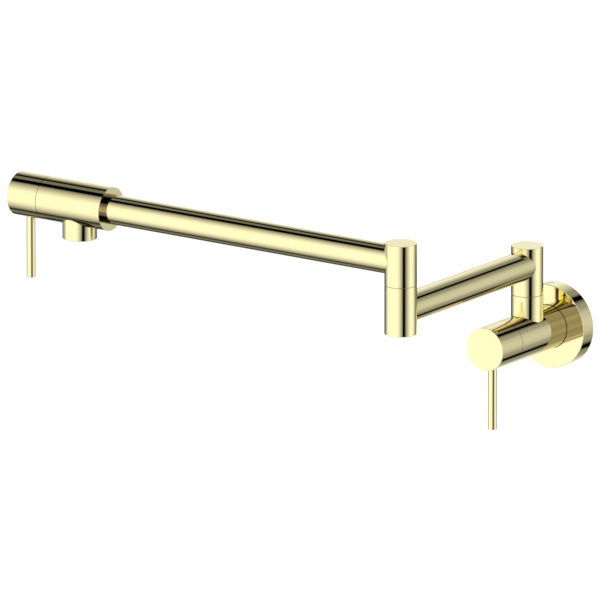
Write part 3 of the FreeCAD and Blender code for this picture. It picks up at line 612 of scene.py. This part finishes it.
nipple_low, nipple_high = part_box("inlet_nipple")
inner_end, free_end = nipple_low[1], nipple_high[1]
thread_length = free_end - HEXAGON_BACK
print(f"{1000 * thread_length:.1f} mm of thread, {thread_length / PITCH:.1f} turns")

# %% Rows of the thread
CREST_RADIUS = 0.01048
ROOT_RADIUS = 0.00932
# where each row of one turn lies, in pitches, and its radius
THREAD_PROFILE = ((0.0, ROOT_RADIUS), (0.2, ROOT_RADIUS), (0.5, CREST_RADIUS), (0.7, CREST_RADIUS))


def thread_radius(along, angle):
    """The thread's radius at a distance from the free end, where the end's chamfer cuts it."""
    phase = (along / PITCH - angle / math.tau) % 1.0
    corners = (*THREAD_PROFILE, (1.0, ROOT_RADIUS))
    for (before, low_radius), (after, high_radius) in zip(corners, corners[1:]):
        if phase <= after:
            share = (phase - before) / (after - before)
            break
    return min(low_radius + share * (high_radius - low_radius), ROOT_RADIUS + along)


def thread_row(start):
    """A row that starts some turns from the free end: by angle, its place and its radius."""

    def row(angle):
        along = (start + angle / math.tau) * PITCH
        along = min(max(along, 0.0), thread_length)
        return free_end - along, thread_radius(along, angle)

    return row


thread_rows = [
    thread_row(turn + step)
    for turn in range(-1, math.ceil(thread_length / PITCH) + 1)
    for step, _ in THREAD_PROFILE
]
print(len(thread_rows), "rows of thread")

# %% Rows along the nipple
BORE_RADIUS = 0.006
HEXAGON_FLATS = 0.027
HEXAGON_FRONT = -0.005
CHAMFER_RADIUS = 0.0131
CHAMFER_SLOPE = 0.35


def hexagon_radius(angle):
    """The radius of a hexagon with one corner straight up."""
    side = math.tau / 6
    from_flat = (angle - math.tau / 4) % side - side / 2
    return HEXAGON_FLATS / 2 / math.cos(from_flat)


def chamfered_corner(angle):
    radius = hexagon_radius(angle)
    return HEXAGON_BACK - (radius - CHAMFER_RADIUS) * CHAMFER_SLOPE, radius


rows = [
    lambda angle: (free_end, BORE_RADIUS),
    *thread_rows,
    lambda angle: (HEXAGON_BACK, CHAMFER_RADIUS),
    chamfered_corner,
    lambda angle: (HEXAGON_FRONT, hexagon_radius(angle)),
    lambda angle: (HEXAGON_FRONT, CREST_RADIUS),
    lambda angle: (inner_end, CREST_RADIUS),
    lambda angle: (inner_end, BORE_RADIUS),
]
print(len(rows), "rows in all")

# %% Build the nipple
COLUMNS = 72                # a multiple of twelve, so that a column runs down every corner
SAME_POINT = 0.00005        # metres
SHARP_ANGLE = math.radians(25)

grid = bmesh.new()
angles = [math.tau * column / COLUMNS for column in range(COLUMNS + 1)]
points = []
for row in rows:
    line = []
    for angle in angles:
        y, radius = row(angle)
        line.append(grid.verts.new((radius * math.cos(angle), y, radius * math.sin(angle))))
    points.append(line)
for line, next_line in zip(points, points[1:] + points[:1]):
    for column in range(COLUMNS):
        corners = (line[column], line[column + 1], next_line[column + 1], next_line[column])
        grid.faces.new(corners)
bmesh.ops.remove_doubles(grid, verts=grid.verts, dist=SAME_POINT)
bmesh.ops.recalc_face_normals(grid, faces=grid.faces)
for face in grid.faces:
    face.smooth = True
for edge in grid.edges:
    edge.smooth = edge.calc_face_angle(0.0) < SHARP_ANGLE
open_edges = [edge for edge in grid.edges if not edge.is_manifold]
print(len(grid.faces), "faces, open or doubled edges:", len(open_edges))

# %% Put the nipple in its place
nipple_mesh = bpy.data.meshes.new("threaded_nipple")
grid.to_mesh(nipple_mesh)
grid.free()
nipple = bpy.data.objects.new("threaded_nipple", nipple_mesh)
bpy.context.scene.collection.objects.link(nipple)
nipple_mesh.materials.append(finishes["bare_brass"])
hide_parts("inlet_nipple")
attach(nipple, "wall_unit")
print(nipple.name, "stands for inlet_nipple")
